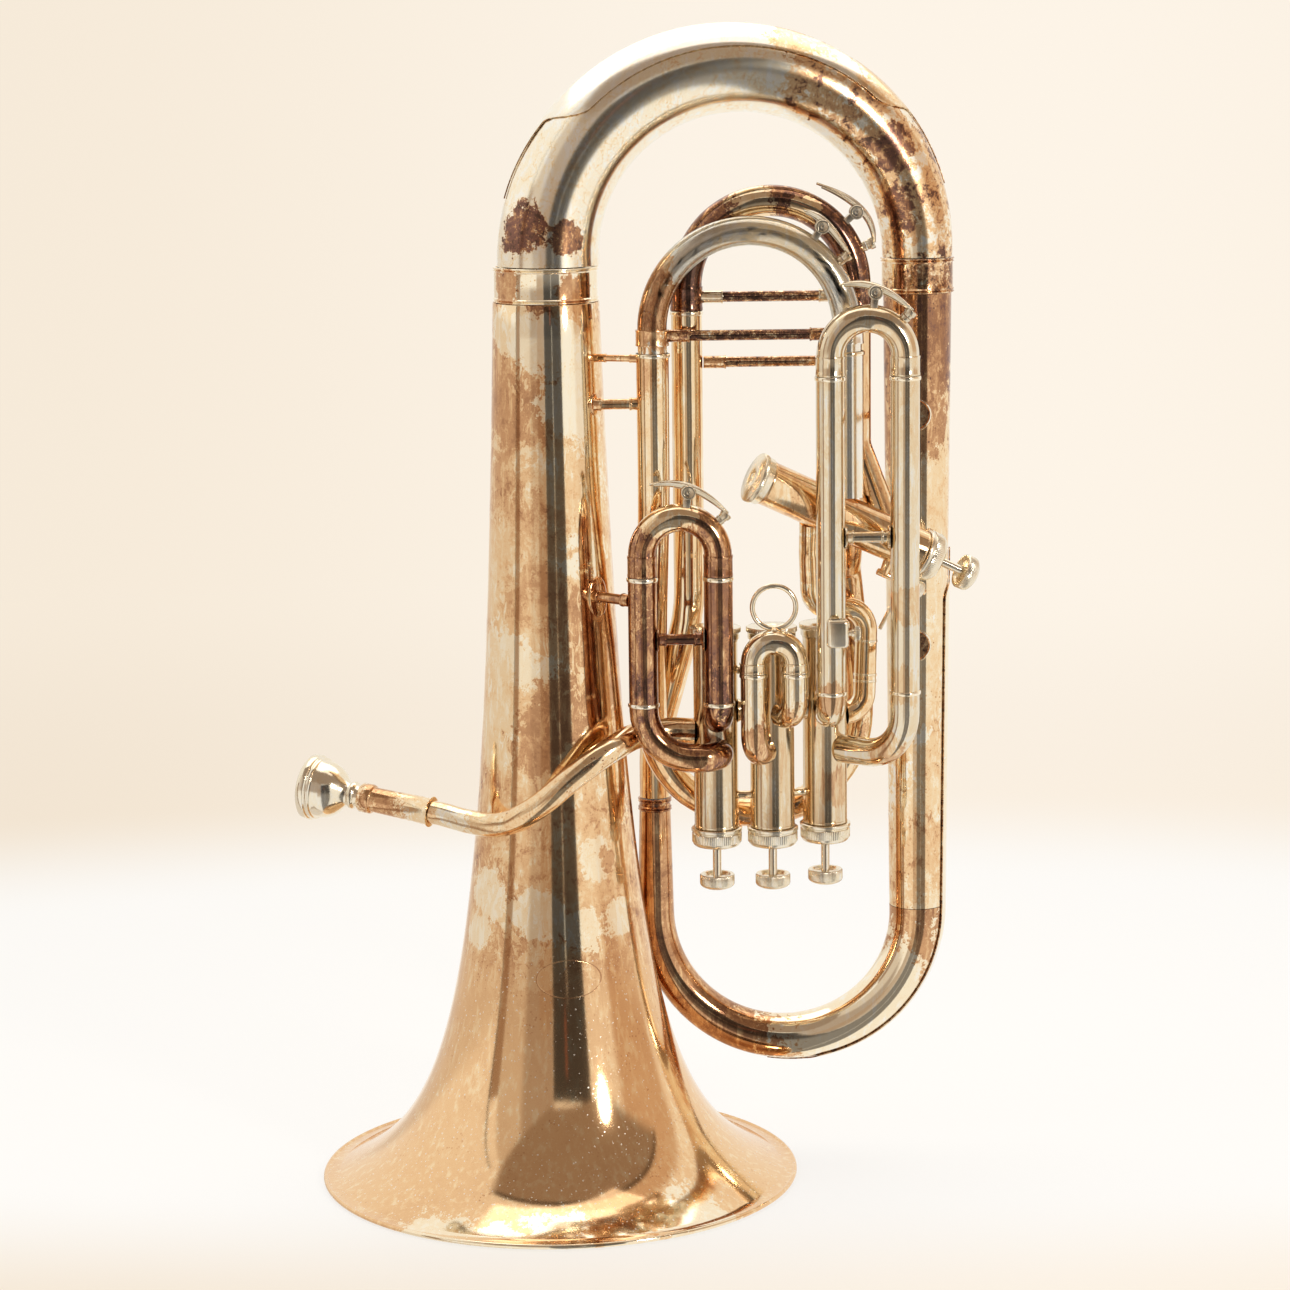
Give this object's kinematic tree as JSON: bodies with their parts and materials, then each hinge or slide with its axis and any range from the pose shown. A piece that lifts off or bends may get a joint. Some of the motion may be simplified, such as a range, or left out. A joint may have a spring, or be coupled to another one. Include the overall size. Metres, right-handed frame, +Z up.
{
  "type": "euphonium",
  "caption": "Four-valve euphonium in worn silver plate, standing on its bell, with working valves, tuning slides, water keys and a removable mouthpiece.",
  "frame": {"origin": "middle of the object's footprint box, on the plane that the bell's rim stands on", "axes": "+Z up along the bell's axis, away from its mouth; +X towards the outer branch and the valve buttons' side; +Y to the back"},
  "size_m": [0.3969, 0.28, 0.6712],
  "materials": {
    "silver": "worn silver plate, warm patches of tarnish",
    "gilded": "silver plate tarnished to gold",
    "copper": "silver plate tarnished to copper brown",
    "nickel": "satin nickel silver",
    "steel": "spring wire"
  },
  "bodies": {
    "horn": {"bell": "silver", "bell_ferrule": "silver", "top_bow": "silver", "top_bow_guard": "silver", "outer_branch_ferrule": "silver", "outer_branch": "gilded", "bottom_bow": "copper", "bottom_bow_guard": "silver", "bottom_bow_ferrule": "copper", "inner_branch": "gilded", "mouthpiece_receiver": "silver", "leadpipe": "copper", "valve_casing_1": "silver", "valve_casing_2": "silver", "valve_casing_3": "silver", "valve_casing_4": "gilded", "top_cap_1": "nickel", "top_cap_2": "nickel", "top_cap_3": "nickel", "top_cap_4": "nickel", "bottom_cap_1": "nickel", "bottom_cap_2": "nickel", "bottom_cap_3": "nickel", "bottom_cap_4": "nickel", "valve_spring_1": "steel", "valve_spring_2": "steel", "valve_spring_3": "steel", "valve_spring_4": "steel", "slide_1_outer_left": "copper", "slide_1_outer_right": "copper", "slide_2_outer_left": "silver", "slide_2_outer_right": "silver", "slide_3_outer_left": "silver", "slide_3_outer_right": "silver", "fourth_valve_loop": "gilded", "slide_4_outer_right": "silver", "main_slide_outer_right": "gilded", "crossover_tube": "copper", "lyre_holder": "nickel"},
    "valve_1": {"piston_1": "nickel", "finger_button_1": "nickel"},
    "valve_2": {"piston_2": "nickel", "finger_button_2": "nickel"},
    "valve_3": {"piston_3": "nickel", "finger_button_3": "nickel"},
    "valve_4": {"piston_4": "nickel", "finger_button_4": "nickel"},
    "main_slide": {"main_tuning_slide": "copper"},
    "tuning_slide_1": {"slide_1": "copper"},
    "tuning_slide_2": {"slide_2": "silver"},
    "tuning_slide_3": {"slide_3": "silver"},
    "tuning_slide_4": {"slide_4": "silver"},
    "key_1": {"water_key_1": "nickel"},
    "key_3": {"water_key_3": "nickel"},
    "key_4": {"water_key_4": "nickel"},
    "key_main": {"water_key_main": "nickel"},
    "lyre_thumb_screw": {"lyre_screw": "nickel"},
    "lock": {"valve_4_lock": "nickel"},
    "mouthpiece_body": {"mouthpiece": "silver"}
  },
  "joints": [
    {"name": "valve_1_press", "type": "slide", "parent": "horn", "child": "valve_1", "axis": [0, 0, 1], "range_m": [0, 0.0155], "stiffness_N_per_m": 180, "springref_m": -0.02, "deforming": ["valve_spring_1"]},
    {"name": "valve_2_press", "type": "slide", "parent": "horn", "child": "valve_2", "axis": [0, 0, 1], "range_m": [0, 0.0155], "stiffness_N_per_m": 180, "springref_m": -0.02, "deforming": ["valve_spring_2"]},
    {"name": "valve_3_press", "type": "slide", "parent": "horn", "child": "valve_3", "axis": [0, 0, 1], "range_m": [0, 0.0155], "stiffness_N_per_m": 180, "springref_m": -0.02, "deforming": ["valve_spring_3"]},
    {"name": "valve_4_press", "type": "slide", "parent": "horn", "child": "valve_4", "axis": [-0.8651, -0.2502, 0.4347], "range_m": [0, 0.0155], "stiffness_N_per_m": 180, "springref_m": -0.02, "deforming": ["valve_spring_4"]},
    {"name": "main_slide_pull", "type": "slide", "parent": "horn", "child": "main_slide", "axis": [0, 0, 1], "range_m": [0, 0.04]},
    {"name": "slide_1_pull", "type": "slide", "parent": "horn", "child": "tuning_slide_1", "axis": [0, 0, 1], "range_m": [0, 0.04]},
    {"name": "slide_2_pull", "type": "slide", "parent": "horn", "child": "tuning_slide_2", "axis": [0, 0, 1], "range_m": [0, 0.008]},
    {"name": "slide_3_pull", "type": "slide", "parent": "horn", "child": "tuning_slide_3", "axis": [0, 0, 1], "range_m": [0, 0.04]},
    {"name": "slide_4_pull", "type": "slide", "parent": "horn", "child": "tuning_slide_4", "axis": [0, 0, 1], "range_m": [-0.0035, 0.04]},
    {"name": "water_key_1_hinge", "type": "hinge", "parent": "tuning_slide_1", "child": "key_1", "pos_m": [0.03072, -0.046, 0.41055], "axis": [0, -1, 0], "range_deg": [0, 10], "stiffness_Nm_per_rad": 0.12, "springref_deg": -14.32},
    {"name": "water_key_3_hinge", "type": "hinge", "parent": "tuning_slide_3", "child": "key_3", "pos_m": [0.13575, -0.046, 0.52109], "axis": [0, -1, 0], "range_deg": [0, 10], "stiffness_Nm_per_rad": 0.12, "springref_deg": -14.32},
    {"name": "water_key_4_hinge", "type": "hinge", "parent": "tuning_slide_4", "child": "key_4", "pos_m": [0.1077, -0.018, 0.55601], "axis": [0, -1, 0], "range_deg": [0, 10], "stiffness_Nm_per_rad": 0.12, "springref_deg": -14.32},
    {"name": "water_key_main_hinge", "type": "hinge", "parent": "main_slide", "child": "key_main", "pos_m": [0.12801, 0.001, 0.56281], "axis": [0, -1, 0], "range_deg": [0, 10], "stiffness_Nm_per_rad": 0.12, "springref_deg": -14.32},
    {"name": "lyre_screw_turn", "type": "hinge", "parent": "horn", "child": "lyre_thumb_screw", "pos_m": [0.11357, -0.05855, 0.3313], "axis": [1, 0, 0], "continuous": true},
    {"name": "valve_4_lock_turn", "type": "hinge", "parent": "horn", "child": "lock", "pos_m": [0.15315, -0.01014, 0.35211], "axis": [0.8651, 0.2502, -0.4347], "range_deg": [-40, 40]},
    {"name": "mouthpiece_pull", "type": "slide", "parent": "horn", "child": "mouthpiece_body", "axis": [-0.9108, 0.396, 0.1163], "range_m": [0, 0.03]}
  ]
}
